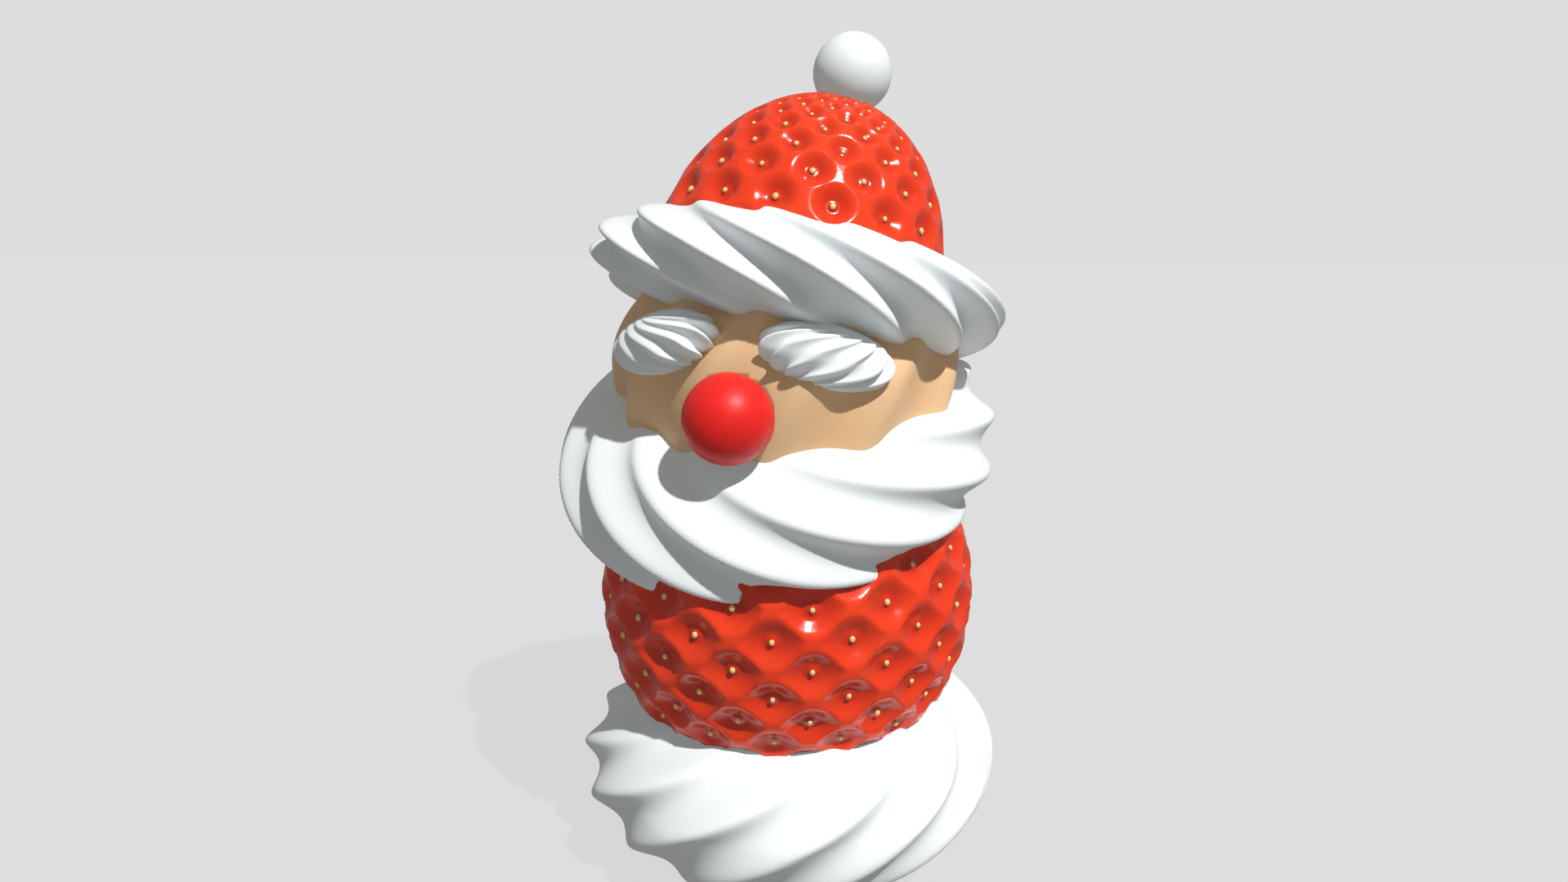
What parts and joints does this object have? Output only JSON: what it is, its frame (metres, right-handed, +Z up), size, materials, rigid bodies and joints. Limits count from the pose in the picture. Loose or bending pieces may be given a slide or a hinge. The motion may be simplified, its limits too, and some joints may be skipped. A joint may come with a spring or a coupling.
{
  "type": "strawberry and piped cream dessert figure",
  "caption": "Standing dessert figure of strawberries and piped cream: a berry body in a cream rosette, cream beard, face and hat brim, berry-tip hat and round nose.",
  "frame": {"origin": "middle of the cream base's flat underside, on the surface that the figure stands on", "axes": "+Z up through the body strawberry, -Y towards the front, where the nose is, +X to the side that the hat's point leans to"},
  "size_m": [0.0489, 0.0478, 0.0917],
  "materials": {
    "cream": "firm whipped cream, cool white, soft satin with fine nozzle drag lines",
    "peach_cream": "the same cream tinted peach, satin",
    "strawberry": "ripe red strawberry skin, glossy, dimpled round small golden seeds",
    "sugar_pearl": "smooth red sugar shell, satin gloss"
  },
  "bodies": {
    "root": {"base_cream": "cream", "body_berry": "strawberry", "beard_cream": "cream", "face_cream": "peach_cream", "nose": "sugar_pearl", "brow_left": "cream", "brow_right": "cream", "brim_cream": "cream", "hat_berry": "strawberry", "pompom": "cream"}
  },
  "joints": []
}
